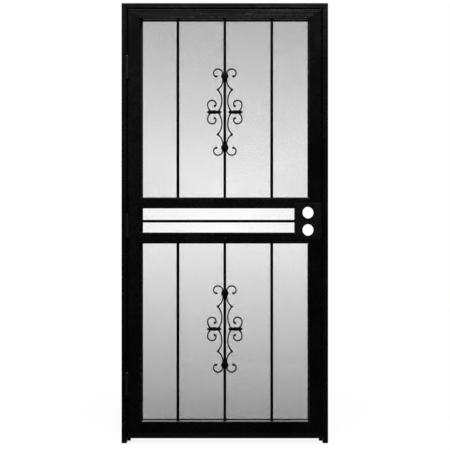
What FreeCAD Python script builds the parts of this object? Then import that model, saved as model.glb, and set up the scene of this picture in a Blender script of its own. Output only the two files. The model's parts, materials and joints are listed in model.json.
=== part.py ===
"""Steel security screen door: a tube frame for a doorway and a welded leaf hung on three hinges.

Millimetres. +X runs from the hinge jamb to the strike jamb, +Y from the street to the inside, +Z up.
The origin is on the outer face of the hinge jamb, at the floor and at half the jamb's depth.
"""
import FreeCAD, Part
import math
import os

Vec = FreeCAD.Vector

# Frame in the doorway
FRAME_W = 958.0
FRAME_H = 2040.0
FRAME_DEPTH = 50.8
JAMB_FACE = 25.0
HEAD_FACE = 24.0
FRAME_WALL = 1.5
FRAME_CORNER = 3.0

# Gaps round the leaf
HINGE_GAP = 5.0
LOCK_GAP = 6.0
HEAD_GAP = 5.0
STOP_GAP = 5.0
FLOOR_GAP = 23.5

# Leaf tubes
LEAF_DEPTH = 25.4
LEAF_WALL = 1.5
LEAF_CORNER = 2.5
STILE_FACE = 57.15
TOP_RAIL_FACE = 44.45
MID_RAIL_FACE = 47.8
LOWER_RAIL_Z = 928.1
MID_PANEL_H = 112.5
BOTTOM_RAIL_TOP = 100.0

# Half inch square tube of the bars and the stops
BAR = 12.7
BAR_WALL = 1.2
BAR_SETBACK = 4.0
BAR_SPACING = 218.0
MID_BAR_RISE = 52.9

# Channel round the foot of the leaf
SWEEP_H = 21.0
SWEEP_WALL = 1.2
SWEEP_BASE = 1.5

# Lock box, bored for a knob lock and a deadbolt
BOX_W = 123.0
BOX_LAP = 28.4
BOX_H = 165.0
BOX_WALL = 2.0
BOX_PROUD = 0.8
KNOB_BORE_D = 54.0
LATCH_BORE_D = 20.0
BACKSET = 61.0
KNOB_RISE = 40.5
BORE_SPACING = 80.5
STRIKE_W = 16.0
STRIKE_H = 30.0

# Metal screen sheets and the flat bars that hold them
SCREEN_T = 1.0
SCREEN_LAP = 10.0
SCREEN_WINDOW = 150.0
SCREEN_RIB = 4.0
HOLDER_T = 3.0
HOLDER_SHOW = 4.0
HINGE_HOLDER_SHOW = 7.0
HOLDER_LAP = 15.0
HOLDER_CORNER_GAP = 1.0

# Butt hinges
HINGE_H = 101.6
HINGE_PLATE = 2.0
HINGE_PLATE_DEPTH = 21.2
HINGE_PLATE_SETBACK = 0.8
HINGE_BARREL_R = 6.0
HINGE_AXIS_OUT = 7.0
HINGE_MID_KNUCKLE = 35.0
HINGE_KNUCKLE_GAP = 0.5
PIN_R = 2.5
PIN_CLEARANCE = 0.06
HINGE_FROM_FLOOR = 275.5
HINGE_FROM_TOP = 301.0
HINGE_NAMES = ("lower", "middle", "upper")

# Screws through the jambs into the doorway
SCREW_R = 3.5
SCREW_Y = 15.0
SCREW_ABOVE_HINGE = 94.0

# Scroll ornament: heights of the collars, then points from the bar's axis and the collar's level
COLLAR_Z = {"upper": 1536.0, "lower": 527.5}
STRAND_W = 5.4
STRAND_DEPTH = 9.5
COLLAR_IN = 17.0
COLLAR_OUT = 82.0
COLLAR_T = 15.0
COLLAR_POINT = 8.0
COLLAR_DEPTH = 12.0
INNER_CROSS_X = 28.0
OUTER_CROSS_X = 70.0
BEAD_R = 11.0
WAIST_X = 13.5
WAIST_Z = 55.0
CUSP_X = 35.0
CUSP_Z = 104.0
CUSP_R = 6.5
CUSP_SIDES = 4
LEAVE_Z = 149.0
HOOK_X = 31.9
HOOK_TOP_Z = 200.5
HOOK_R = 19.1
HOOK_END_ANGLE = -65.0
VOLUTE_X = 54.5
VOLUTE_OUT_X = 77.0
VOLUTE_TOP_Z = 54.5
VOLUTE_FOOT_X = 58.0
VOLUTE_FOOT_Z = 5.0
VOLUTE_IN_R = 15.7
VOLUTE_END_R = 10.5
VOLUTE_END_ANGLE = 250.0
BALL_R = 5.2
BALL_SIDES = 8
BALL_INSET = 1.6
ROSETTE_R = 16.5
ROSETTE_SIDES = 16
ROSETTE_CROWN_R = 9.0
ROSETTE_RIM = 1.5
ROSETTE_RISE = 5.5
ROSETTE_Z = 166.6

# Places that follow from the sizes above
ORIGIN_Y = -FRAME_DEPTH / 2
LEAF_X0 = JAMB_FACE + HINGE_GAP
LEAF_X1 = FRAME_W - JAMB_FACE - LOCK_GAP
LEAF_TOP = FRAME_H - HEAD_FACE - HEAD_GAP
LEAF_FOOT = FLOOR_GAP + SWEEP_BASE
OPEN_X0 = LEAF_X0 + STILE_FACE
OPEN_X1 = LEAF_X1 - STILE_FACE
OPEN_TOP = LEAF_TOP - TOP_RAIL_FACE
MID_PANEL_Z = LOWER_RAIL_Z + MID_RAIL_FACE
UPPER_RAIL_Z = MID_PANEL_Z + MID_PANEL_H
MID_BAR_Z = MID_PANEL_Z + MID_BAR_RISE
BOX_X0 = LEAF_X1 - BOX_W
BOX_Z0 = MID_PANEL_Z - BOX_LAP
BOX_Z1 = BOX_Z0 + BOX_H
KNOB_Z = BOX_Z0 + KNOB_RISE
DEADBOLT_Z = KNOB_Z + BORE_SPACING
CENTRE_X = FRAME_W / 2
BAR_MID_Y = BAR_SETBACK + BAR / 2
STOP_Y0 = LEAF_DEPTH + SWEEP_WALL + STOP_GAP
HINGE_X = JAMB_FACE + HINGE_GAP / 2
LOWER_HINGE_Z = HINGE_FROM_FLOOR
UPPER_HINGE_Z = FRAME_H - HINGE_FROM_TOP
HINGE_Z = (LOWER_HINGE_Z, (LOWER_HINGE_Z + UPPER_HINGE_Z) / 2, UPPER_HINGE_Z)
STRAND_X = (BAR + STRAND_W) / 2


def block(x, y, z):
    """Box between pairs of limits."""
    corner = Vec(x[0], y[0], z[0])
    return Part.makeBox(x[1] - x[0], y[1] - y[0], z[1] - z[0], corner)


def tube(x, y, z, axis, wall, corner=None):
    """Square or rectangular tube, open at both ends of its axis, its long edges rounded or sharp."""
    outer = block(x, y, z)
    if corner:
        long_edges = []
        for edge in outer.Edges:
            run = edge.Vertexes[1].Point - edge.Vertexes[0].Point
            if abs(run.normalize().dot(axis)) > 0.99:
                long_edges.append(edge)
        outer = outer.makeFillet(corner, long_edges)
    limits = []
    for pair, along in zip((x, y, z), axis):
        inset = -wall if along else wall
        limits.append((pair[0] + inset, pair[1] - inset))
    return outer.cut(block(*limits))


def prism(points, y):
    """Outline in X and Z, run along Y between two limits."""
    corners = [Vec(px, y[0], pz) for px, pz in points]
    face = Part.Face(Part.makePolygon(corners + corners[:1]))
    return face.extrude(Vec(0, y[1] - y[0], 0))


def mirror_x(shape, x):
    """Copy of a shape on the other side of the plane at x."""
    return shape.mirror(Vec(x, 0, 0), Vec(1, 0, 0))


def mirror_z(shape, z):
    """Copy of a shape on the other side of the plane at height z."""
    return shape.mirror(Vec(0, 0, z), Vec(0, 0, 1))


def frame_tubes():
    """Jambs and head, mitred where they meet, with screw holes and lock strikes."""
    depth = (0, FRAME_DEPTH)
    up = Vec(0, 0, 1)
    margin = FRAME_WALL
    mitre = ((0, FRAME_H), (JAMB_FACE, FRAME_H - HEAD_FACE))
    over = prism(mitre + ((JAMB_FACE + margin, FRAME_H + margin), (0, FRAME_H + margin)), depth)
    under = prism(mitre + ((JAMB_FACE, FRAME_H - HEAD_FACE - margin), (-margin, FRAME_H - HEAD_FACE)), depth)
    jamb = tube((0, JAMB_FACE), depth, (0, FRAME_H), up, FRAME_WALL, FRAME_CORNER).cut(over)
    for hinge_z in (LOWER_HINGE_Z, UPPER_HINGE_Z):
        place = Vec(0, SCREW_Y, hinge_z + SCREW_ABOVE_HINGE)
        jamb = jamb.cut(Part.makeCylinder(SCREW_R, JAMB_FACE, place, Vec(1, 0, 0)))
    strike_jamb = mirror_x(jamb, CENTRE_X)
    inner_face = FRAME_W - JAMB_FACE
    for height in (KNOB_Z, DEADBOLT_Z):
        across = (LEAF_DEPTH / 2 - STRIKE_W / 2, LEAF_DEPTH / 2 + STRIKE_W / 2)
        tall = (height - STRIKE_H / 2, height + STRIKE_H / 2)
        strike_jamb = strike_jamb.cut(block((inner_face, inner_face + FRAME_WALL), across, tall))
    head = tube((0, FRAME_W), depth, (FRAME_H - HEAD_FACE, FRAME_H), Vec(1, 0, 0), FRAME_WALL, FRAME_CORNER)
    head = head.cut(under).cut(mirror_x(under, CENTRE_X))
    return {"hinge_jamb": jamb, "strike_jamb": strike_jamb, "head": head}


def frame_stops():
    """Square tubes behind the leaf that it closes against."""
    depth = (STOP_Y0, STOP_Y0 + BAR)
    under_head = FRAME_H - HEAD_FACE
    hinge_stop = tube((JAMB_FACE, JAMB_FACE + BAR), depth, (0, under_head - BAR), Vec(0, 0, 1), BAR_WALL)
    across = (JAMB_FACE, FRAME_W - JAMB_FACE)
    head_stop = tube(across, depth, (under_head - BAR, under_head), Vec(1, 0, 0), BAR_WALL)
    return {"hinge_stop": hinge_stop, "strike_stop": mirror_x(hinge_stop, CENTRE_X), "head_stop": head_stop}


def leaf_tube(x, z, axis):
    """Tube of the leaf's welded frame."""
    return tube(x, (0, LEAF_DEPTH), z, axis, LEAF_WALL, LEAF_CORNER)


def leaf_frame():
    """Stiles and rails; the top corners are mitred and the mid rails are notched for the lock box."""
    up = Vec(0, 0, 1)
    across = Vec(1, 0, 0)
    depth = (0, LEAF_DEPTH)
    margin = LEAF_WALL
    mitre = ((LEAF_X0, LEAF_TOP), (OPEN_X0, OPEN_TOP))
    over = prism(mitre + ((OPEN_X0 + margin, LEAF_TOP + margin), (LEAF_X0, LEAF_TOP + margin)), depth)
    under = prism(mitre + ((OPEN_X0, OPEN_TOP - margin), (LEAF_X0 - margin, OPEN_TOP)), depth)
    leaf_middle = (LEAF_X0 + LEAF_X1) / 2
    hinge_stile = leaf_tube((LEAF_X0, OPEN_X0), (LEAF_FOOT, LEAF_TOP), up).cut(over)
    lock_stile = mirror_x(hinge_stile, leaf_middle)
    above_box = block((OPEN_X1, LEAF_X1), depth, (BOX_Z1, LEAF_TOP))
    below_box = block((OPEN_X1, LEAF_X1), depth, (LEAF_FOOT, BOX_Z0))
    top_rail = leaf_tube((LEAF_X0, LEAF_X1), (OPEN_TOP, LEAF_TOP), across)
    top_rail = top_rail.cut(under).cut(mirror_x(under, leaf_middle))
    notch = block((BOX_X0, LEAF_X1), depth, (BOX_Z0, BOX_Z1))
    opening = (OPEN_X0, OPEN_X1)
    upper_rail = leaf_tube(opening, (UPPER_RAIL_Z, UPPER_RAIL_Z + MID_RAIL_FACE), across)
    lower_rail = leaf_tube(opening, (LOWER_RAIL_Z, LOWER_RAIL_Z + MID_RAIL_FACE), across)
    return {
        "hinge_stile": hinge_stile,
        "lock_stile_upper": lock_stile.common(above_box),
        "lock_stile_lower": lock_stile.common(below_box),
        "top_rail": top_rail,
        "upper_mid_rail": upper_rail.cut(notch),
        "lower_mid_rail": lower_rail.cut(notch),
        "bottom_rail": leaf_tube(opening, (LEAF_FOOT, BOTTOM_RAIL_TOP), across),
    }


def bottom_sweep():
    """Channel that closes the foot of the leaf and stands a wall's thickness proud of it."""
    top = FLOOR_GAP + SWEEP_H
    outer = block((LEAF_X0, LEAF_X1), (-SWEEP_WALL, LEAF_DEPTH + SWEEP_WALL), (FLOOR_GAP, top))
    inside = block((LEAF_X0, LEAF_X1), (0, LEAF_DEPTH), (LEAF_FOOT, top))
    return {"bottom_sweep": outer.cut(inside)}


def lock_box():
    """Sheet steel box in the lock stile, bored through for the knobs and in its edge for the bolts."""
    outer = block((BOX_X0, LEAF_X1), (-BOX_PROUD, LEAF_DEPTH), (BOX_Z0, BOX_Z1))
    front_rim = []
    for edge in outer.Edges:
        if all(abs(vertex.Y + BOX_PROUD) < BOX_PROUD / 10 for vertex in edge.Vertexes):
            front_rim.append(edge)
    outer = outer.makeChamfer(BOX_PROUD, front_rim)
    hollow = block(
        (BOX_X0 + BOX_WALL, LEAF_X1 - BOX_WALL),
        (BOX_WALL - BOX_PROUD, LEAF_DEPTH - BOX_WALL),
        (BOX_Z0 + BOX_WALL, BOX_Z1 - BOX_WALL),
    )
    box = outer.cut(hollow)
    for height in (KNOB_Z, DEADBOLT_Z):
        knob_place = Vec(LEAF_X1 - BACKSET, -BOX_PROUD, height)
        box = box.cut(Part.makeCylinder(KNOB_BORE_D / 2, LEAF_DEPTH + BOX_PROUD, knob_place, Vec(0, 1, 0)))
        latch_place = Vec(LEAF_X1 - BOX_WALL, LEAF_DEPTH / 2, height)
        box = box.cut(Part.makeCylinder(LATCH_BORE_D / 2, BOX_WALL, latch_place, Vec(1, 0, 0)))
    return {"lock_box": box}


def bars():
    """Three upright bars in each panel and the level bar beside the lock box."""
    depth = (BAR_SETBACK, BAR_SETBACK + BAR)
    spans = {
        "upper": (UPPER_RAIL_Z + MID_RAIL_FACE, OPEN_TOP),
        "lower": (BOTTOM_RAIL_TOP, LOWER_RAIL_Z),
    }
    pieces = {}
    for panel, span in spans.items():
        for side, step in (("left", -1), ("centre", 0), ("right", 1)):
            x = CENTRE_X + step * BAR_SPACING
            limits = (x - BAR / 2, x + BAR / 2)
            pieces[panel + "_bar_" + side] = tube(limits, depth, span, Vec(0, 0, 1), BAR_WALL)
    level = (MID_BAR_Z - BAR / 2, MID_BAR_Z + BAR / 2)
    pieces["middle_bar"] = tube((OPEN_X0, BOX_X0), depth, level, Vec(1, 0, 0), BAR_WALL)
    return pieces


def spread(limits):
    """Even windows with ribs between them that fill a span."""
    count = max(1, round((limits[1] - limits[0]) / SCREEN_WINDOW))
    pitch = (limits[1] - limits[0] + SCREEN_RIB) / count
    windows = []
    for index in range(count):
        start = limits[0] + index * pitch
        windows.append((start, start + pitch - SCREEN_RIB))
    return windows


def screens():
    """Open screen sheet on the back of each panel, and the four flat bars that hold its edges."""
    shows = (HINGE_HOLDER_SHOW, HOLDER_SHOW)
    panels = {
        "upper": ((OPEN_X0, OPEN_X1), (UPPER_RAIL_Z + MID_RAIL_FACE, OPEN_TOP), shows),
        "middle": ((OPEN_X0, BOX_X0), (LOWER_RAIL_Z + MID_RAIL_FACE, UPPER_RAIL_Z), (0, 0)),
        "lower": ((OPEN_X0, OPEN_X1), (BOTTOM_RAIL_TOP, LOWER_RAIL_Z), shows),
    }
    sheet_depth = (LEAF_DEPTH, LEAF_DEPTH + SCREEN_T)
    holder_depth = (LEAF_DEPTH + SCREEN_T, LEAF_DEPTH + SCREEN_T + HOLDER_T)
    pieces = {}
    for name, (x, z, (hinge_show, show)) in panels.items():
        sheet_x = (x[0] - SCREEN_LAP, x[1] + SCREEN_LAP)
        sheet_z = (z[0] - SCREEN_LAP, z[1] + SCREEN_LAP)
        windows = []
        for across in spread((x[0] + hinge_show, x[1] - show)):
            for tall in spread((z[0] + show, z[1] - show)):
                windows.append(block(across, sheet_depth, tall))
        pieces[name + "_screen"] = block(sheet_x, sheet_depth, sheet_z).cut(windows)
        around_x = (x[0] - HOLDER_LAP, x[1] + HOLDER_LAP)
        foot = (z[0] - HOLDER_LAP, z[0] + show)
        crown = (z[1] - show, z[1] + HOLDER_LAP)
        between = (foot[1] + HOLDER_CORNER_GAP, crown[0] - HOLDER_CORNER_GAP)
        flats = [
            block(around_x, holder_depth, foot),
            block(around_x, holder_depth, crown),
            block((around_x[0], x[0] + hinge_show), holder_depth, between),
            block((x[1] - show, around_x[1]), holder_depth, between),
        ]
        pieces[name + "_screen_holders"] = Part.makeCompound(flats)
    return pieces


def barrel(radius, span):
    """Round piece on the hinge axis between two heights."""
    return Part.makeCylinder(radius, span[1] - span[0], Vec(HINGE_X, -HINGE_AXIS_OUT, span[0]))


def hinges():
    """Butt hinges: the frame half carries the fixed pin, the leaf half turns on it."""
    plate_y = (HINGE_PLATE_SETBACK, HINGE_PLATE_SETBACK + HINGE_PLATE_DEPTH)
    tongue_y = (-HINGE_AXIS_OUT, HINGE_PLATE_SETBACK)
    frame_x = (JAMB_FACE, JAMB_FACE + HINGE_PLATE)
    leaf_x = (LEAF_X0 - HINGE_PLATE, LEAF_X0)
    pieces = {}
    for name, z in zip(HINGE_NAMES, HINGE_Z):
        foot = z - HINGE_H / 2
        top = z + HINGE_H / 2
        mid_knuckle = (z - HINGE_MID_KNUCKLE / 2, z + HINGE_MID_KNUCKLE / 2)
        end_knuckles = ((foot, mid_knuckle[0] - HINGE_KNUCKLE_GAP), (mid_knuckle[1] + HINGE_KNUCKLE_GAP, top))
        solids = [barrel(PIN_R, (foot, top))]
        for span in end_knuckles:
            solids.append(barrel(HINGE_BARREL_R, span))
            solids.append(block(frame_x, tongue_y, span))
        frame_plate = block(frame_x, plate_y, (foot, top))
        pieces[name + "_hinge_frame_half"] = frame_plate.multiFuse(solids).removeSplitter()

        leaf_plate = block(leaf_x, plate_y, (foot, top))
        knuckle = [barrel(HINGE_BARREL_R, mid_knuckle), block(leaf_x, tongue_y, mid_knuckle)]
        leaf_half = leaf_plate.multiFuse(knuckle)
        leaf_half = leaf_half.cut(barrel(PIN_R + PIN_CLEARANCE, mid_knuckle))
        pieces[name + "_hinge_leaf_half"] = leaf_half.removeSplitter()
    return pieces


def circle_point(x, z, radius, angle):
    """Point on a circle in the ornament's plane, the angle in degrees from +X towards +Z."""
    turn = math.radians(angle)
    return Vec(x + radius * math.cos(turn), BAR_MID_Y, z + radius * math.sin(turn))


def arc(x, z, radius, start, end):
    """Arc of a circle in the ornament's plane between two angles."""
    points = [circle_point(x, z, radius, angle) for angle in (start, (start + end) / 2, end)]
    return Part.Arc(*points).toShape()


def bulge_arc(bulge_x, bulge_z, end_x, end_z):
    """Arc that stands upright at its bulge and ends at a point."""
    radius = ((end_x - bulge_x) ** 2 + (end_z - bulge_z) ** 2) / (2 * (end_x - bulge_x))
    start = 180.0 if radius > 0 else 0.0
    end = math.degrees(math.atan2(end_z - bulge_z, end_x - bulge_x - radius)) % 360
    if end - start > 180:
        end -= 360
    return arc(bulge_x + radius, bulge_z, abs(radius), start, end)


def strand(edges):
    """Flat bar bent on edge along a smooth run of edges in the ornament's plane."""
    path = Part.Wire(Part.sortEdges(edges)[0])
    first = path.OrderedEdges[0]
    at_start = path.OrderedVertexes[0].Point
    parameter = first.Curve.parameter(at_start)
    tangent = first.tangentAt(parameter)
    side = tangent.cross(Vec(0, 1, 0)).normalize()
    outline = []
    for across, deep in ((1, 1), (-1, 1), (-1, -1), (1, -1)):
        outline.append(at_start + side * (across * STRAND_W / 2) + Vec(0, deep * STRAND_DEPTH / 2, 0))
    section = Part.makePolygon(outline + outline[:1])
    return path.makePipeShell([section], True, False)


def bud(x, z, radius, sides, depth):
    """Forged bud across the ornament's plane: a prism of few sides with a corner pointing sideways."""
    corners = []
    for index in range(sides):
        corner = circle_point(x, z, radius, 360 * index / sides)
        corners.append((corner.x, corner.z))
    return prism(corners, (BAR_MID_Y - depth / 2, BAR_MID_Y + depth / 2))


def scroll_half(axis_x, collar_z):
    """One side of an ornament: two long strands and two volutes bound by a collar."""
    waist = (axis_x + WAIST_X, collar_z + WAIST_Z)
    cusp = (axis_x + CUSP_X, collar_z + CUSP_Z)
    along_bar = axis_x + STRAND_X
    hook_x = axis_x + HOOK_X
    hook_in_r = HOOK_X - STRAND_X
    hook_in_z = collar_z + HOOK_TOP_Z - hook_in_r
    hook_z = collar_z + HOOK_TOP_Z - HOOK_R
    lower_strand = strand([
        bulge_arc(*waist, axis_x + INNER_CROSS_X, collar_z),
        bulge_arc(*waist, *cusp),
    ])
    leave = Vec(along_bar, BAR_MID_Y, collar_z + LEAVE_Z)
    upper_strand = strand([
        bulge_arc(along_bar, collar_z + LEAVE_Z, *cusp),
        Part.makeLine(leave, Vec(along_bar, BAR_MID_Y, hook_in_z)),
        arc(hook_x, hook_in_z, hook_in_r, 180, 90),
        arc(hook_x, hook_z, HOOK_R, 90, HOOK_END_ANGLE),
    ])
    volute_x = axis_x + VOLUTE_X
    volute_out_r = VOLUTE_OUT_X - VOLUTE_X
    volute_out_z = collar_z + VOLUTE_TOP_Z - volute_out_r
    volute_in_z = collar_z + VOLUTE_TOP_Z - VOLUTE_IN_R
    volute_end_x = volute_x - VOLUTE_IN_R + VOLUTE_END_R
    volute = strand([
        bulge_arc(axis_x + VOLUTE_OUT_X, volute_out_z, axis_x + VOLUTE_FOOT_X, collar_z + VOLUTE_FOOT_Z),
        arc(volute_x, volute_out_z, volute_out_r, 0, 90),
        arc(volute_x, volute_in_z, VOLUTE_IN_R, 90, 180),
        arc(volute_end_x, volute_in_z, VOLUTE_END_R, 180, VOLUTE_END_ANGLE),
    ])
    hook_end = circle_point(hook_x, hook_z, HOOK_R - BALL_INSET, HOOK_END_ANGLE)
    volute_end = circle_point(volute_end_x, volute_in_z, VOLUTE_END_R - BALL_INSET, VOLUTE_END_ANGLE)
    upper = [lower_strand, upper_strand, volute, bud(*cusp, CUSP_R, CUSP_SIDES, STRAND_DEPTH)]
    for end in (hook_end, volute_end):
        upper.append(bud(end.x, end.z, BALL_R, BALL_SIDES, STRAND_DEPTH))
    lower = [mirror_z(piece, collar_z) for piece in upper]
    half_t = COLLAR_T / 2
    outline = []
    for reach, level in (
        (COLLAR_IN, 0), (COLLAR_IN + COLLAR_POINT, half_t), (COLLAR_OUT - COLLAR_POINT, half_t),
        (COLLAR_OUT, 0), (COLLAR_OUT - COLLAR_POINT, -half_t), (COLLAR_IN + COLLAR_POINT, -half_t),
    ):
        outline.append((axis_x + reach, collar_z + level))
    collar = prism(outline, (BAR_MID_Y - COLLAR_DEPTH / 2, BAR_MID_Y + COLLAR_DEPTH / 2))
    beads = []
    for cross in (INNER_CROSS_X, OUTER_CROSS_X):
        beads.append(bud(axis_x + cross, collar_z, BEAD_R, CUSP_SIDES, COLLAR_DEPTH))
    return collar.multiFuse(upper + lower + beads).removeSplitter()


def rosette(z):
    """Many-sided boss on the front of a bar, its rim upright and its crown smaller."""
    layers = ((ROSETTE_R, 0), (ROSETTE_R, ROSETTE_RIM), (ROSETTE_CROWN_R, ROSETTE_RISE))
    rings = []
    for radius, rise in layers:
        ring = []
        for index in range(ROSETTE_SIDES + 1):
            corner = circle_point(CENTRE_X, z, radius, 360 * (index % ROSETTE_SIDES) / ROSETTE_SIDES)
            ring.append(Vec(corner.x, BAR_SETBACK - rise, corner.z))
        rings.append(ring)
    facets = [Part.Face(Part.makePolygon(rings[0])), Part.Face(Part.makePolygon(rings[-1]))]
    for low, high in zip(rings, rings[1:]):
        for index in range(ROSETTE_SIDES):
            corners = [low[index], low[index + 1], high[index + 1], high[index]]
            facets.append(Part.Face(Part.makePolygon(corners + corners[:1])))
    return Part.makeSolid(Part.makeShell(facets))


def ornaments():
    """Scroll halves beside each centre bar and the rosettes on its front."""
    pieces = {}
    for panel, collar_z in COLLAR_Z.items():
        right = scroll_half(CENTRE_X, collar_z)
        pieces[panel + "_scroll_right"] = right
        pieces[panel + "_scroll_left"] = mirror_x(right, CENTRE_X)
        bosses = [rosette(collar_z - ROSETTE_Z), rosette(collar_z + ROSETTE_Z)]
        pieces[panel + "_rosettes"] = Part.makeCompound(bosses)
    return pieces


def main():
    """Builds every piece and writes one file for each."""
    os.makedirs("parts", exist_ok=True)
    pieces = {}
    makers = (frame_tubes, frame_stops, leaf_frame, bottom_sweep, lock_box, bars, screens, hinges, ornaments)
    for make in makers:
        pieces.update(make())
    for name, shape in pieces.items():
        shape.translate(Vec(0, ORIGIN_Y, 0))
        shape.exportStep("parts/" + name + ".step")
        print(name, len(shape.Solids), shape.isValid(), round(shape.Volume / 1000, 1))


main()
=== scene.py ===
"""Finishes and fine detail of a steel security screen door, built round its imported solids.

Metres. +X runs from the hinge jamb to the strike jamb, +Y from the street to the inside, +Z up.
"""
import itertools
import json
import logging
import math
from dataclasses import dataclass, field
from enum import Enum
from typing import Any, ClassVar

import bmesh
import bpy
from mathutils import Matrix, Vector


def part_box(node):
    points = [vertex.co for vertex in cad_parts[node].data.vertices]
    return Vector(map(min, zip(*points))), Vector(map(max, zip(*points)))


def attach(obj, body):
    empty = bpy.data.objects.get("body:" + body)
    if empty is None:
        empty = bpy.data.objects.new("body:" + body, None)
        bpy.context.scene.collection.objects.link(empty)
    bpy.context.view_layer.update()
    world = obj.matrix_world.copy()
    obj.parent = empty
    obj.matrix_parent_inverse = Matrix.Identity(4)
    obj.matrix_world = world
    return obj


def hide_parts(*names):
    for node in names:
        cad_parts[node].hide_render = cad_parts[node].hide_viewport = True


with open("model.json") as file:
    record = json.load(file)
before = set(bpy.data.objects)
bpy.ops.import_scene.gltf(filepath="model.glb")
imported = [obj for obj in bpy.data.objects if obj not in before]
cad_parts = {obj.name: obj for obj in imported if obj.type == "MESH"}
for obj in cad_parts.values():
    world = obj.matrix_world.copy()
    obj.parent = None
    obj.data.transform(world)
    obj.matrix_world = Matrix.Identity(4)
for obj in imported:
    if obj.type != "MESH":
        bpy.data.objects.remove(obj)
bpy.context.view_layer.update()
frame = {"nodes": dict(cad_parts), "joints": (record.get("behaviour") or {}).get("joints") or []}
LOG = logging.getLogger("security_door")
MM = 0.001
# Flat is a pair of numbers, such as a place in a plane, and Spot is three, such as a place in space.
Flat = tuple[float, float]
Spot = tuple[float, float, float]


class Body(str, Enum):
    """Bodies of the door that pieces ride on."""

    FRAME = "door_frame"
    LEAF = "door_leaf"


class Slot(str, Enum):
    """Material slots of the record."""

    PAINT = "black_paint"
    ORNAMENT = "ornament_castings"
    HINGE = "hinge_steel"
    SWEEP = "sweep_channel"
    SCREEN = "screen_mesh"


class Inlet(str, Enum):
    """Kinds of named inputs of a node tree."""

    VALUE = "NodeSocketFloat"
    COUNT = "NodeSocketInt"
    VECTOR = "NodeSocketVector"
    OBJECT = "NodeSocketObject"
    MATERIAL = "NodeSocketMaterial"


class NodeSketch:
    """Node tree that is filled node by node."""

    def __init__(self, tree: bpy.types.NodeTree) -> None:
        """Starts on a tree, and empties it.

        Args:
            tree: The node tree to fill.
        """
        self.tree = tree
        tree.nodes.clear()

    def feed(self, socket: bpy.types.NodeSocket, value: Any) -> None:
        """Links a socket to an output, or gives it a constant.

        Args:
            socket: The input to feed.
            value: An output socket, or the constant.
        """
        if isinstance(value, bpy.types.NodeSocket):
            self.tree.links.new(value, socket)
        else:
            socket.default_value = value

    def add(self, kind: str, values: dict | None = None, **settings: Any) -> bpy.types.Node:
        """Adds a node.

        Args:
            kind: The node's type.
            values: What each input gets, by name or index.
            **settings: The node's own properties.

        Returns:
            The new node.
        """
        node = self.tree.nodes.new(kind)
        for name, setting in settings.items():
            setattr(node, name, setting)
        for key, value in (values or {}).items():
            self.feed(node.inputs[key], value)
        return node

    def math(self, operation: str, *values: Any) -> bpy.types.NodeSocket:
        """Adds a math node.

        Args:
            operation: The node's operation.
            *values: Its operands in order.

        Returns:
            The result's socket.
        """
        return self.add("ShaderNodeMath", dict(enumerate(values)), operation=operation).outputs[0]

    def product(self, first: Any, *others: Any) -> bpy.types.NodeSocket:
        """Multiplies values in turn.

        Args:
            first: The first value.
            *others: What it is multiplied by.

        Returns:
            The product's socket.
        """
        for other in others:
            first = self.math("MULTIPLY", first, other)
        return first

    def ramp(
        self, value: Any, start: float, end: float, low: Any = 0.0, high: Any = 1.0,
    ) -> bpy.types.NodeSocket:
        """Adds a smooth step between two values.

        Args:
            value: What is mapped.
            start: Where the step starts.
            end: Where the step ends.
            low: The result at the start.
            high: The result at the end.

        Returns:
            The result's socket.
        """
        inputs = {0: value, 1: start, 2: end, 3: low, 4: high}
        return self.add("ShaderNodeMapRange", inputs, interpolation_type="SMOOTHSTEP").outputs[0]

    def blend(self, share: Any, first: Any, second: Any) -> bpy.types.NodeSocket:
        """Adds a mix of two colours.

        Args:
            share: How much of the second colour there is.
            first: The first colour.
            second: The second colour.

        Returns:
            The mixed colour's socket.
        """
        return self.add("ShaderNodeMix", {0: share, 6: first, 7: second}, data_type="RGBA").outputs[2]


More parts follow.
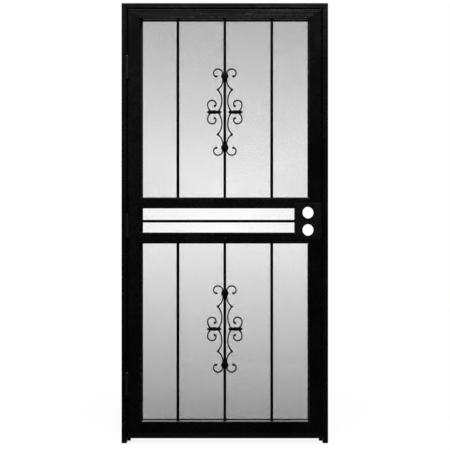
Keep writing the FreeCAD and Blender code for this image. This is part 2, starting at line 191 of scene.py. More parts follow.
class PatternTree(NodeSketch):
    """Geometry node tree with named inputs, whose result becomes a plain mesh."""

    def __init__(self, name: str) -> None:
        """Makes the tree with a geometry input and output.

        Args:
            name: The tree's name.
        """
        super().__init__(bpy.data.node_groups.new(name, "GeometryNodeTree"))
        for way in ("INPUT", "OUTPUT"):
            self.tree.interface.new_socket(name="Geometry", in_out=way, socket_type="NodeSocketGeometry")
        self.entry = self.tree.nodes.new("NodeGroupInput")
        self.finish = self.inlet("Finish", Inlet.MATERIAL)

    def inlet(self, name: str, kind: Inlet) -> bpy.types.NodeSocket:
        """Adds a named input.

        Args:
            name: The input's name.
            kind: What it takes.

        Returns:
            The socket that gives the input's value in the tree.
        """
        self.tree.interface.new_socket(name=name, in_out="INPUT", socket_type=kind.value)
        return self.entry.outputs[name]

    def attribute(self, name: str, data_type: str = "FLOAT") -> bpy.types.NodeSocket:
        """Reads a named attribute of the geometry.

        Args:
            name: The attribute's name.
            data_type: Its type.

        Returns:
            The socket that gives it.
        """
        return self.add("GeometryNodeInputNamedAttribute", {"Name": name}, data_type=data_type).outputs[0]

    def place(self, points: Any, pattern: Any, turn: Any, scale: Any) -> bpy.types.NodeSocket:
        """Puts a pattern on points.

        Args:
            points: The points.
            pattern: The geometry on each of them.
            turn: Its turn.
            scale: Its scale.

        Returns:
            The instances' socket.
        """
        values = {"Points": points, "Instance": pattern, "Rotation": turn, "Scale": scale}
        return self.add("GeometryNodeInstanceOnPoints", values).outputs[0]

    def close(self, *parts: bpy.types.NodeSocket, smooth: bool = False) -> None:
        """Joins the parts, realizes their instances, sets the finish and ends the tree.

        Args:
            *parts: The geometry of each part.
            smooth: Whether the faces are shaded smooth.
        """
        join = self.add("GeometryNodeJoinGeometry")
        for part in parts:
            self.feed(join.inputs[0], part)
        plain = self.add("GeometryNodeRealizeInstances", {0: join.outputs[0]}).outputs[0]
        values = {"Geometry": plain, "Shade Smooth": smooth}
        shaded = self.add("GeometryNodeSetShadeSmooth", values).outputs[0]
        values = {"Geometry": shaded, "Material": self.finish}
        dressed = self.add("GeometryNodeSetMaterial", values).outputs[0]
        self.feed(self.tree.nodes.new("NodeGroupOutput").inputs[0], dressed)

    def make(
        self, name: str, values: dict[str, Any], base: bpy.types.Mesh | None = None,
    ) -> bpy.types.Object:
        """Runs the tree and keeps its result as a plain mesh.

        Args:
            name: The new piece's name.
            values: The tree's inputs by name.
            base: The mesh that the tree starts from, if any.

        Returns:
            The new piece.
        """
        carrier = bpy.data.objects.new(name + "_carrier", base or bpy.data.meshes.new(name))
        bpy.context.scene.collection.objects.link(carrier)
        modifier = carrier.modifiers.new("pattern", "NODES")
        modifier.node_group = self.tree
        for item in self.tree.interface.items_tree:
            if item.in_out == "INPUT" and item.name in values:
                modifier[item.identifier] = values[item.name]
        graph = bpy.context.evaluated_depsgraph_get()
        mesh = bpy.data.meshes.new_from_object(carrier.evaluated_get(graph), depsgraph=graph)
        mesh.name = name
        carrier.modifiers.remove(modifier)
        bpy.data.objects.remove(carrier)
        return add_piece(name, mesh)


def add_piece(name: str, mesh: bpy.types.Mesh) -> bpy.types.Object:
    """Puts a mesh into the scene as a piece at the origin.

    Args:
        name: The piece's name.
        mesh: Its mesh, in the door's own frame.

    Returns:
        The piece.
    """
    piece = bpy.data.objects.new(name, mesh)
    bpy.context.scene.collection.objects.link(piece)
    return piece


def settle(piece: bpy.types.Object, body: Body, slot: Slot, *nodes: str) -> None:
    """Hands a finished piece to the body that carries it, and reports it.

    Args:
        piece: The piece.
        body: The body that it rides on.
        slot: The slot of its finish; not used.
        *nodes: The nodes that it stands for.
    """
    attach(piece, body.value)
    if nodes:
        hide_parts(*nodes)
    LOG.info("%s rides on %s: %d faces", piece.name, body.value, len(piece.data.polygons))


class Effect(NodeSketch):
    """Shader node group that several finishes share."""

    def __init__(self, name: str, inlets: dict[str, Inlet]) -> None:
        """Makes the group with its named inputs.

        Args:
            name: The group's name.
            inlets: What each input takes.
        """
        super().__init__(bpy.data.node_groups.new(name, "ShaderNodeTree"))
        for title, kind in inlets.items():
            self.tree.interface.new_socket(name=title, in_out="INPUT", socket_type=kind.value)
        self.entry = self.tree.nodes.new("NodeGroupInput")

    def give(self, **results: bpy.types.NodeSocket) -> bpy.types.NodeTree:
        """Adds the named outputs.

        Args:
            **results: What each output gives.

        Returns:
            The finished group.
        """
        for title in results:
            self.tree.interface.new_socket(name=title, in_out="OUTPUT", socket_type=Inlet.VALUE.value)
        leave = self.tree.nodes.new("NodeGroupOutput")
        for title, socket in results.items():
            self.feed(leave.inputs[title], socket)
        return self.tree

    def noise(self, vector: Any, scale: Any, detail: float = 2.0) -> bpy.types.NodeSocket:
        """Adds a noise field.

        Args:
            vector: Where it is read.
            scale: How fine it is.
            detail: How many octaves it has.

        Returns:
            The noise value's socket.
        """
        values = {"Vector": vector, "Scale": scale, "Detail": detail}
        return self.add("ShaderNodeTexNoise", values).outputs[0]


@dataclass(frozen=True)
class Effects:
    """The shader node groups of the coat's surface, with their scales in repeats per metre."""

    grain: bpy.types.NodeTree
    dust: bpy.types.NodeTree
    rub: bpy.types.NodeTree
    fine_detail: ClassVar[float] = 3.0
    pits_per_grain: ClassVar[float] = 0.6
    pit_share: ClassVar[float] = 0.5
    slow_scale: ClassVar[float] = 3.5
    slow_share: ClassVar[float] = 0.6
    close_scale: ClassVar[float] = 55.0
    close_share: ClassVar[float] = 0.4
    upward_span: ClassVar[Flat] = (0.8, 0.99)
    speck_scale: ClassVar[float] = 260.0
    speck_detail: ClassVar[float] = 4.0
    speck_span: ClassVar[Flat] = (0.42, 0.7)
    patch_span: ClassVar[Flat] = (0.5, 0.72)
    scuff_scale: ClassVar[float] = 420.0
    scuff_span: ClassVar[Flat] = (0.35, 0.65)

    @classmethod
    def build(cls) -> "Effects":
        """Builds the groups once for all finishes."""
        return cls(cls.coat_grain(), cls.settled_dust_and_painted_sheen(), cls.rubbed_patches())

    @classmethod
    def coat_grain(cls) -> bpy.types.NodeTree:
        """Builds the orange-peel skin of a sprayed coat.

        Returns:
            A group that gives the skin's height, a slow change of tone and the drawn steel's streaks.
        """
        inlets = {"Vector": Inlet.VECTOR, "Grains per metre": Inlet.VALUE, "Draw": Inlet.VECTOR}
        sketch = Effect("coat_grain", inlets)
        vector, pitch, draw = (sketch.entry.outputs[name] for name in inlets)
        drawn = sketch.add("ShaderNodeVectorMath", {0: vector, 1: draw}, operation="MULTIPLY").outputs[0]
        streaks = sketch.noise(drawn, 1.0)
        peel = sketch.noise(vector, pitch, cls.fine_detail)
        pit_pitch = sketch.product(pitch, cls.pits_per_grain)
        pits = sketch.add("ShaderNodeTexVoronoi", {"Vector": vector, "Scale": pit_pitch}).outputs[0]
        height = sketch.math("ADD", peel, sketch.product(pits, cls.pit_share))
        slow = sketch.product(sketch.noise(vector, cls.slow_scale), cls.slow_share)
        close = sketch.product(sketch.noise(vector, cls.close_scale, cls.fine_detail), cls.close_share)
        return sketch.give(Height=height, Tone=sketch.math("ADD", slow, close), Streaks=streaks)

    @classmethod
    def settled_dust_and_painted_sheen(cls) -> bpy.types.NodeTree:
        """Builds the dust that settles on faces that look up, along an open run across the door; with a pale
        tone, the same mask paints a sheen of light on those faces.

        Returns:
            A group that gives the mask of the dust and of the sheen painted with it.
        """
        inlets = {"Vector": Inlet.VECTOR, "Amount": Inlet.VALUE, "Start": Inlet.VALUE, "End": Inlet.VALUE}
        sketch = Effect("settled_dust_and_painted_sheen", inlets)
        vector, amount, start, end = (sketch.entry.outputs[name] for name in inlets)
        normal = sketch.add("ShaderNodeNewGeometry").outputs["Normal"]
        upward = sketch.add("ShaderNodeSeparateXYZ", {0: normal}).outputs[2]
        lies = sketch.ramp(upward, *cls.upward_span)
        specks = sketch.ramp(sketch.noise(vector, cls.speck_scale, cls.speck_detail), *cls.speck_span)
        across = sketch.add("ShaderNodeSeparateXYZ", {0: vector}).outputs[0]
        past_start = sketch.math("GREATER_THAN", across, start)
        before_end = sketch.math("LESS_THAN", across, end)
        return sketch.give(Mask=sketch.product(lies, specks, amount, past_start, before_end))

    @classmethod
    def rubbed_patches(cls) -> bpy.types.NodeTree:
        """Builds the patches that hands and feet have rubbed smoother.

        Returns:
            A group that gives the patches' mask.
        """
        inlets = {"Vector": Inlet.VECTOR, "Amount": Inlet.VALUE, "Scale": Inlet.VALUE}
        sketch = Effect("rubbed_patches", inlets)
        vector, amount, scale = (sketch.entry.outputs[name] for name in inlets)
        wide = sketch.ramp(sketch.noise(vector, scale, cls.fine_detail), *cls.patch_span)
        fine = sketch.ramp(sketch.noise(vector, cls.scuff_scale), *cls.scuff_span)
        return sketch.give(Mask=sketch.product(wide, fine, amount))


@dataclass(frozen=True)
class CoatFinish:
    """Black coat on steel, with its skin, tone, dust and rubbed patches.

    Dark and light bound the coat's tone, draw is the drawn steel's grain by axis and streak its depth,
    dull roughens the tubes' rounded upper edges, and dust lies only inside its run across the door;
    a pale dust tone makes that mask paint a sheen of light as well as dust.
    """

    name: str
    dark: float = 0.0014
    light: float = 0.0026
    roughness: float = 0.22
    grains: float = 900.0
    depth: float = 0.00002
    dust: float = 0.3
    rub: float = 0.5
    rub_scale: float = 9.0
    metal: float = 0.0
    specular: float = 0.5
    draw: Spot = (60.0, 60.0, 60.0)
    streak: float = 0.0
    dull: float = 0.7
    dust_and_sheen_tone: float = 0.21
    dust_and_sheen_run: Flat = (-1.0, 2.0)
    blue_lift: ClassVar[float] = 1.02
    dust_tint: ClassVar[Spot] = (1.02, 1.0, 0.98)
    tone_span: ClassVar[Flat] = (0.36, 0.64)
    tone_rough: ClassVar[float] = 0.08
    dust_rough: ClassVar[float] = 0.4
    rub_rough: ClassVar[float] = -0.14
    lean_span: ClassVar[Flat] = (0.05, 0.3)
    level_span: ClassVar[Flat] = (0.9, 0.99)

    def material(self, effects: Effects) -> bpy.types.Material:
        """Builds the material.

        Args:
            effects: The shared node groups.

        Returns:
            The material.
        """
        material = bpy.data.materials.new(self.name)
        material.use_nodes = True
        sketch = NodeSketch(material.node_tree)
        place = sketch.add("ShaderNodeTexCoord").outputs["Object"]
        values = {"Vector": place, "Grains per metre": self.grains, "Draw": self.draw}
        grain = sketch.add("ShaderNodeGroup", values, node_tree=effects.grain).outputs
        # The dust mask and tone also carry painted sheen: where the tone is pale, as on the bottom rail, the
        # blend paints light on upward faces.
        start, end = self.dust_and_sheen_run
        values = {"Vector": place, "Amount": self.dust, "Start": start, "End": end}
        dust = sketch.add("ShaderNodeGroup", values, node_tree=effects.dust).outputs["Mask"]
        values = {"Vector": place, "Amount": self.rub, "Scale": self.rub_scale}
        rubbed = sketch.add("ShaderNodeGroup", values, node_tree=effects.rub).outputs["Mask"]
        tone = sketch.ramp(grain["Tone"], *self.tone_span)
        coat = sketch.blend(tone, self.grey(self.dark), self.grey(self.light))
        red, green, blue = (self.dust_and_sheen_tone * share for share in self.dust_tint)
        colour = sketch.blend(dust, coat, (red, green, blue, 1.0))
        normal = sketch.add("ShaderNodeNewGeometry").outputs["Normal"]
        facing = sketch.add("ShaderNodeSeparateXYZ", {0: normal}).outputs
        leans = sketch.ramp(facing[2], *self.lean_span)
        rounded = sketch.product(leans, sketch.ramp(facing[2], *self.level_span, 1.0, 0.0))
        rough = self.roughness
        for mask, change in (
            (tone, self.tone_rough), (dust, self.dust_rough), (rubbed, self.rub_rough), (rounded, self.dull),
        ):
            rough = sketch.math("ADD", rough, sketch.product(mask, change))
        drawn = sketch.product(sketch.math("ABSOLUTE", facing[1]), self.streak)
        values = {"Strength": 1.0, "Distance": drawn, "Height": grain["Streaks"]}
        rolled = sketch.add("ShaderNodeBump", values).outputs[0]
        values = {"Strength": 1.0, "Distance": self.depth, "Height": grain["Height"], "Normal": rolled}
        skin = sketch.add("ShaderNodeBump", values).outputs[0]
        metal = sketch.product(rubbed, self.metal) if self.metal else 0.0
        surface = sketch.add("ShaderNodeBsdfPrincipled", {
            "Base Color": colour, "Roughness": rough, "Metallic": metal, "Normal": skin,
            "Specular IOR Level": self.specular,
        })
        sketch.add("ShaderNodeOutputMaterial", {0: surface.outputs[0]})
        return material

    @classmethod
    def grey(cls, level: float) -> tuple[float, float, float, float]:
        """Gives a nearly neutral colour of a level."""
        return (level, level, level * cls.blue_lift, 1.0)


RAIL_DRAW = (1.5, 150.0, 150.0)
STILE_DRAW = (150.0, 150.0, 1.5)
# The bottom rail's dust and painted sheen end short of the hinge stile and the lock stile by these
# millimetres, so that the rail's top stays dark there as painted shade.
FOOT_DUST_AND_SHEEN_INSETS = (9.35, 4.35)
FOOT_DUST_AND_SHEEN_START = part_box("hinge_stile")[1].x + FOOT_DUST_AND_SHEEN_INSETS[0] * MM
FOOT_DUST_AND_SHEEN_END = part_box("lock_stile_lower")[0].x - FOOT_DUST_AND_SHEEN_INSETS[1] * MM
RAIL_PAINT = CoatFinish("satin_black_coat_on_rails", dust=0.5, draw=RAIL_DRAW, streak=0.0012)
# The bottom rail's full, pale dust is partly dust and partly a painted highlight: the bright sheen that the
# backdrop behind the screens puts on the rail's top face.
FOOT_PAINT = CoatFinish(
    "satin_black_coat_and_painted_sheen_on_bottom_rail", 0.001, 0.002, dust=1.0, draw=RAIL_DRAW, streak=0.0005,
    dust_and_sheen_tone=0.6, dust_and_sheen_run=(FOOT_DUST_AND_SHEEN_START, FOOT_DUST_AND_SHEEN_END),
)
TOP_PAINT = CoatFinish("satin_black_coat_on_top_rail", dust=0.05, draw=RAIL_DRAW, streak=0.0015, dull=0.8)
HEAD_PAINT = CoatFinish("satin_black_coat_on_head", dust=0.05, draw=RAIL_DRAW, streak=0.0012)
BOX_PAINT = CoatFinish(
    "satin_black_coat_on_lock_box", 0.003, 0.005, 0.24, dust=0.1, rub=0.8, draw=RAIL_DRAW, streak=0.0004,
)
# Painted shade: the lock stile gets a darker copy of the stiles' coat, for the shade it sits in beside the
# brighter strike jamb.
LOCK_SHADED_PAINT = CoatFinish(
    "satin_black_coat_on_lock_stile_painted_shade", 0.0012, 0.0022, specular=0.3, draw=STILE_DRAW, streak=0.0006,
)
STRIKE_PAINT = CoatFinish("satin_black_coat_on_strike_jamb", draw=STILE_DRAW, streak=0.0013)
STILE_PAINT = CoatFinish("satin_black_coat_on_stiles", draw=STILE_DRAW, streak=0.0008)
BAR_PAINT = CoatFinish(
    "satin_black_coat_on_bars", 0.001, 0.002, rub=0.3, specular=0.2, draw=STILE_DRAW, streak=0.0004,
)
FORGED = CoatFinish(
    "forged_black_coat", 0.001, 0.002, 0.36, grains=420.0, depth=0.00006, dust=0.06, rub=0.4, rub_scale=30.0,
    specular=0.15,
)
HINGE = CoatFinish(
    "hinge_black_coat", 0.003, 0.006, 0.30, grains=800.0, dust=0.04, rub=0.9, rub_scale=60.0, metal=0.25,
    dull=0.0,
)
SWEEP = CoatFinish(
    "channel_black_coat", 0.0015, 0.003, 0.36, grains=700.0, depth=0.00003, dust=0.1, rub=0.8, rub_scale=24.0,
    draw=RAIL_DRAW, streak=0.0006,
)
SCREEN = CoatFinish(
    "screen_black_coat", 0.003, 0.006, 0.55, grains=1500.0, depth=0.00001, dust=0.03, rub=0.2, rub_scale=20.0,
    specular=0.2,
)
SCREW = CoatFinish(
    "screw_black_oxide", 0.012, 0.03, 0.32, grains=1200.0, dust=0.05, rub=1.0, rub_scale=90.0, metal=0.8,
)


@dataclass
class PathSketch:
    """Polylines with a girth at each point, from which strands and turned forms are made."""

    points: list[Spot] = field(default_factory=list)
    girths: list[float] = field(default_factory=list)
    edges: list[tuple[int, int]] = field(default_factory=list)

    def run(self, points: list[Spot], girths: list[float]) -> None:
        """Adds one polyline.

        Args:
            points: Its points in order.
            girths: The girth at each point.
        """
        first = len(self.points)
        self.points += points
        self.girths += girths
        self.edges += [(first + step, first + step + 1) for step in range(len(points) - 1)]

    def mesh(self, name: str) -> bpy.types.Mesh:
        """Makes the mesh that a pattern tree starts from.

        Args:
            name: The mesh's name.

        Returns:
            The mesh, with its girth attribute.
        """
        mesh = bpy.data.meshes.new(name)
        mesh.from_pydata(self.points, self.edges, [])
        mesh.attributes.new("girth", "FLOAT", "POINT").data.foreach_set("value", self.girths)
        return mesh


@dataclass
class PlaceSketch:
    """Points with a turn and a size, on which a pattern is repeated."""

    points: list[Spot] = field(default_factory=list)
    turns: list[float] = field(default_factory=list)
    sizes: list[float] = field(default_factory=list)

    def put(self, point: Spot, turn: Spot, size: Spot) -> None:
        """Adds one place.

        Args:
            point: Where it is.
            turn: The pattern's turn there, in radians.
            size: The pattern's size there.
        """
        self.points.append(point)
        self.turns += turn
        self.sizes += size

    def mesh(self, name: str) -> bpy.types.Mesh:
        """Makes the mesh that a pattern tree starts from.

        Args:
            name: The mesh's name.

        Returns:
            The mesh, with its turn and size attributes.
        """
        mesh = bpy.data.meshes.new(name)
        mesh.from_pydata(self.points, [], [])
        for title, values in (("turn", self.turns), ("size", self.sizes)):
            mesh.attributes.new(title, "FLOAT_VECTOR", "POINT").data.foreach_set("vector", values)
        return mesh


def turned_tree() -> PatternTree:
    """Builds the tree that turns a round form about each polyline, as thick as its girth.

    Returns:
        The tree.
    """
    tree = PatternTree("turned_form")
    sides = tree.inlet("Sides", Inlet.COUNT)
    path = tree.add("GeometryNodeMeshToCurve", {"Mesh": tree.entry.outputs["Geometry"]}).outputs[0]
    ring = tree.add("GeometryNodeCurvePrimitiveCircle", {"Resolution": sides, "Radius": 1.0}).outputs[0]
    values = {"Curve": path, "Profile Curve": ring, "Scale": tree.attribute("girth"), "Fill Caps": True}
    tree.close(tree.add("GeometryNodeCurveToMesh", values).outputs[0], smooth=True)
    return tree


def strand_tree() -> PatternTree:
    """Builds the tree that runs a flat bar with rounded edges along each polyline in an upright plane.

    Returns:
        The tree.
    """
    tree = PatternTree("bent_flat_bar")
    width = tree.inlet("Width", Inlet.VALUE)
    depth = tree.inlet("Depth", Inlet.VALUE)
    edge = tree.inlet("Edge Radius", Inlet.VALUE)
    edge_steps = 3
    inward = (0.0, 1.0, 0.0)
    path = tree.add("GeometryNodeMeshToCurve", {"Mesh": tree.entry.outputs["Geometry"]}).outputs[0]
    values = {"Curve": path, "Normal": inward}
    upright = tree.add("GeometryNodeSetCurveNormal", values, mode="FREE").outputs[0]
    values = {"Width": depth, "Height": width}
    outline = tree.add("GeometryNodeCurvePrimitiveQuadrilateral", values).outputs[0]
    values = {"Curve": outline, "Count": edge_steps, "Radius": edge}
    rounded = tree.add("GeometryNodeFilletCurve", values, mode="POLY").outputs[0]
    values = {"Curve": upright, "Profile Curve": rounded, "Scale": tree.attribute("girth"), "Fill Caps": True}
    tree.close(tree.add("GeometryNodeCurveToMesh", values).outputs[0], smooth=True)
    return tree


def repeat_tree() -> PatternTree:
    """Builds the tree that repeats a pattern object on points by their turn and size.

    Returns:
        The tree.
    """
    tree = PatternTree("repeated_pattern")
    pattern = tree.inlet("Pattern", Inlet.OBJECT)
    shape = tree.add("GeometryNodeObjectInfo", {"Object": pattern}).outputs["Geometry"]
    turn = tree.attribute("turn", "FLOAT_VECTOR")
    size = tree.attribute("size", "FLOAT_VECTOR")
    tree.close(tree.place(tree.entry.outputs["Geometry"], shape, turn, size))
    return tree


def screen_tree() -> PatternTree:
    """Builds the tree of an expanded metal sheet: two families of slanting strands, cut to its outline.

    Returns:
        The tree.
    """
    tree = PatternTree("expanded_screen")
    corner = tree.inlet("Corner", Inlet.VECTOR)
    width = tree.inlet("Width", Inlet.VALUE)
    height = tree.inlet("Height", Inlet.VALUE)
    short_way = tree.inlet("Short Way", Inlet.VALUE)
    slope = tree.inlet("Slope", Inlet.VALUE)
    depth = tree.inlet("Strand Depth", Inlet.VALUE)
    gauge = tree.inlet("Strand Gauge", Inlet.VALUE)
    tilt = tree.inlet("Tilt", Inlet.VALUE)
    rise = tree.math("MULTIPLY", width, slope)
    count = tree.math("FLOOR", tree.math("DIVIDE", tree.math("ADD", height, rise), short_way))
    line = tree.add("GeometryNodeMeshLine", {"Count": count}).outputs[0]
    index = tree.add("GeometryNodeInputIndex").outputs[0]
    step = tree.math("MULTIPLY", tree.math("ADD", index, 0.5), short_way)
    foot = tree.math("SUBTRACT", step, rise)
    start = tree.math("MAXIMUM", 0.0, tree.math("DIVIDE", tree.math("MULTIPLY", foot, -1.0), slope))
    end = tree.math("MINIMUM", width, tree.math("DIVIDE", tree.math("SUBTRACT", height, foot), slope))
    middle = tree.math("MULTIPLY", tree.math("ADD", start, end), 0.5)
    level = tree.math("ADD", foot, tree.math("MULTIPLY", middle, slope))
    stretch = tree.math("SQRT", tree.math("ADD", 1.0, tree.math("MULTIPLY", slope, slope)))
    length = tree.math("MULTIPLY", tree.math("SUBTRACT", end, start), stretch)
    angle = tree.math("ARCTANGENT", slope)
    section = tree.add("ShaderNodeCombineXYZ", {0: 1.0, 1: depth, 2: gauge}).outputs[0]
    strand = tree.add("GeometryNodeMeshCube", {"Size": section}).outputs[0]
    scale = tree.add("ShaderNodeCombineXYZ", {0: length, 1: 1.0, 2: 1.0}).outputs[0]
    families = []
    for way in (-1.0, 1.0):
        across = middle if way < 0 else tree.math("SUBTRACT", width, middle)
        spot = tree.add("ShaderNodeCombineXYZ", {0: across, 1: 0.0, 2: level}).outputs[0]
        spot = tree.add("ShaderNodeVectorMath", {0: spot, 1: corner}, operation="ADD").outputs[0]
        points = tree.add("GeometryNodeSetPosition", {"Geometry": line, "Position": spot}).outputs[0]
        lean = tree.math("MULTIPLY", angle, way)
        turn = tree.add("ShaderNodeCombineXYZ", {0: tilt, 1: lean, 2: 0.0}).outputs[0]
        families.append(tree.place(points, strand, turn, scale))
    tree.close(*families)
    return tree


@dataclass(frozen=True)
class ScreenSheet:
    """One screen: its panel, pitch and strand sizes in millimetres, and the strands' tilt in radians."""

    panel: str
    short_way: float
    gauge: float
    tilt: float
    depth: float


@dataclass
class PanelScreens:
    """The three metal screens on the back of the leaf, each with a hem along its hinge side."""

    slope: float = 0.5
    hem_show: float = 9.4
    hem_depth: float = 0.9
    hem_edge: float = 0.4
    sheets: tuple[ScreenSheet, ...] = (
        ScreenSheet("upper", short_way=0.90, gauge=0.069, tilt=0.05, depth=0.75),
        ScreenSheet("middle", short_way=1.15, gauge=0.010, tilt=0.0, depth=0.96),
        ScreenSheet("lower", short_way=0.90, gauge=0.036, tilt=0.03, depth=0.96),
    )

    def build(self, finish: bpy.types.Material, flat: PatternTree) -> None:
        """Makes each sheet where its node is.

        Args:
            finish: The strands' finish.
            flat: The tree of flat bars.
        """
        tree = screen_tree()
        hems = PathSketch()
        hem_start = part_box("lower_screen")[0].x
        hem_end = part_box("hinge_stile")[1].x + self.hem_show * MM
        across = (hem_start + hem_end) / 2
        for sheet in self.sheets:
            low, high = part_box(sheet.panel + "_screen")
            middle = (low.y + high.y) / 2
            strands = tree.make("screen_strands_" + sheet.panel, {
                "Finish": finish, "Corner": (low.x, middle, low.z), "Slope": self.slope, "Tilt": sheet.tilt,
                "Width": high.x - low.x, "Height": high.z - low.z, "Short Way": sheet.short_way * MM,
                "Strand Gauge": sheet.gauge * MM, "Strand Depth": sheet.depth * MM,
            })
            settle(strands, Body.LEAF, Slot.SCREEN, sheet.panel + "_screen")
            hems.run([(across, middle, low.z), (across, middle, high.z)], [1.0, 1.0])
        made = flat.make("screen_hems", {
            "Finish": finish, "Width": hem_end - hem_start, "Depth": self.hem_depth * MM,
            "Edge Radius": self.hem_edge * MM,
        }, hems.mesh("hem_paths"))
        settle(made, Body.LEAF, Slot.SCREEN)


@dataclass
class ScrollOrnaments:
    """The forged scrolls beside the centre bars and the rosettes on them.

    Sizes are in millimetres, from the bar's axis and the collar's level. Angles are in degrees.
    """

    strand_width: float = 6.0
    strand_depth: float = 9.5
    edge: float = 1.8
    inner_cross: float = 32.0
    volute_foot: Flat = (64.0, 5.0)
    waist: Flat = (13.5, 55.0)
    cusp: Flat = (34.0, 104.0)
    along_bar: float = 9.05
    leave_z: float = 149.0
    hook_x: float = 32.4
    hook_top: float = 200.5
    hook_r: float = 20.0
    hook_end_r: float = 16.5
    hook_end: float = -75.0
    volute_x: float = 59.0
    volute_out: float = 80.0
    volute_top: float = 54.5
    volute_in_r: float = 18.2
    volute_end_r: float = 10.5
    volute_end: float = 240.0
    ball: float = 6.0
    ball_inset: float = 1.6
    bud_segments: tuple[int, int] = (14, 9)
    collar_half: tuple[Flat, ...] = (
        (14.8, 1.0), (17.5, 3.6), (21.0, 5.8), (24.5, 8.2), (28.0, 9.6), (31.0, 9.0), (34.0, 7.4),
        (37.0, 6.8), (41.0, 8.0), (45.5, 9.4), (49.5, 9.8),
    )
    collar_sides: int = 16
    petals: int = 8
    petal_steps: int = 6
    rosette_rings: tuple[Spot, ...] = (
        (17.8, 0.0, 0.04), (17.8, 1.4, 0.06), (15.6, 2.6, 0.09), (11.6, 3.4, 0.08), (8.0, 3.2, 0.04),
        (6.0, 2.9, 0.0), (5.6, 3.9, 0.0), (4.4, 4.9, 0.0), (2.4, 5.45, 0.0),
    )
    arc_coarseness: ClassVar[float] = 28.0
    arc_least_steps: ClassVar[int] = 3

    @classmethod
    def arc(cls, x: float, z: float, radius: float, start: float, end: float) -> list[Flat]:
        """Samples an arc, finer where it is larger.

        Args:
            x: The centre's place across.
            z: The centre's level.
            radius: The arc's radius.
            start: The first angle.
            end: The last angle.

        Returns:
            Its points from start to end.
        """
        wanted = round(abs(end - start) * math.sqrt(radius) / cls.arc_coarseness)
        steps = max(cls.arc_least_steps, wanted)
        turns = [math.radians(start + (end - start) * step / steps) for step in range(steps + 1)]
        return [(x + radius * math.cos(turn), z + radius * math.sin(turn)) for turn in turns]

    @classmethod
    def bulge(cls, start: Flat, end: Flat) -> list[Flat]:
        """Samples the arc that stands upright at one point and ends at another.

        Args:
            start: The point where it stands upright.
            end: The point where it ends.

        Returns:
            Its points from start to end.
        """
        across = end[0] - start[0]
        radius = (across ** 2 + (end[1] - start[1]) ** 2) / (2 * across)
        first = 180.0 if radius > 0 else 0.0
        last = math.degrees(math.atan2(end[1] - start[1], across - radius)) % 360
        if last - first > 180:
            last -= 360
        return cls.arc(start[0] + radius, start[1], abs(radius), first, last)

    def bud_place(self, x: float, z: float, radius: float, angle: float) -> Flat:
        """Places the bud at a strand's end, a little inside its curve.

        Args:
            x: The last arc's centre across.
            z: The last arc's centre level.
            radius: The last arc's radius.
            angle: The angle where it ends.

        Returns:
            The bud's place.
        """
        reach = radius - self.ball_inset
        turn = math.radians(angle)
        return (x + reach * math.cos(turn), z + reach * math.sin(turn))

    def quarter(self) -> tuple[list[list[Flat]], list[Flat]]:
        """Lays out the strands and buds of the quarter above the collar and right of the bar.

        Returns:
            The strands' points, and each bud's place.
        """
        hook_in_r = self.hook_x - self.along_bar
        hook_z = self.hook_top - self.hook_r
        tail_x = self.hook_x + self.hook_r - self.hook_end_r
        out_r = self.volute_out - self.volute_x
        out_z = self.volute_top - out_r
        in_z = self.volute_top - self.volute_in_r
        end_x = self.volute_x - self.volute_in_r + self.volute_end_r
        lower = self.bulge(self.waist, (self.inner_cross, 0.0))[::-1]
        lower += self.bulge(self.waist, self.cusp)[1:]
        upper = self.bulge((self.along_bar, self.leave_z), self.cusp)[::-1]
        upper += self.arc(self.hook_x, self.hook_top - hook_in_r, hook_in_r, 180, 90)
        upper += self.arc(self.hook_x, hook_z, self.hook_r, 90, 0)[1:]
        upper += self.arc(tail_x, hook_z, self.hook_end_r, 0, self.hook_end)[1:]
        volute = self.bulge((self.volute_out, out_z), self.volute_foot)[::-1]
        volute += self.arc(self.volute_x, out_z, out_r, 0, 90)[1:]
        volute += self.arc(self.volute_x, in_z, self.volute_in_r, 90, 180)[1:]
        volute += self.arc(end_x, in_z, self.volute_end_r, 180, self.volute_end)[1:]
        buds = [
            (self.cusp[0] - self.ball_inset, self.cusp[1]),
            self.bud_place(tail_x, hook_z, self.hook_end_r, self.hook_end),
            self.bud_place(end_x, in_z, self.volute_end_r, self.volute_end),
        ]
        return [lower, upper, volute], buds

    def collar(self) -> list[Flat]:
        """Gives the reach and girth along a collar, whose outer half mirrors its inner one.

        Returns:
            The profile from the bar outwards.
        """
        middle = self.collar_half[-1][0]
        outer = [(2 * middle - reach, girth) for reach, girth in self.collar_half[-2::-1]]
        return [*self.collar_half, *outer]

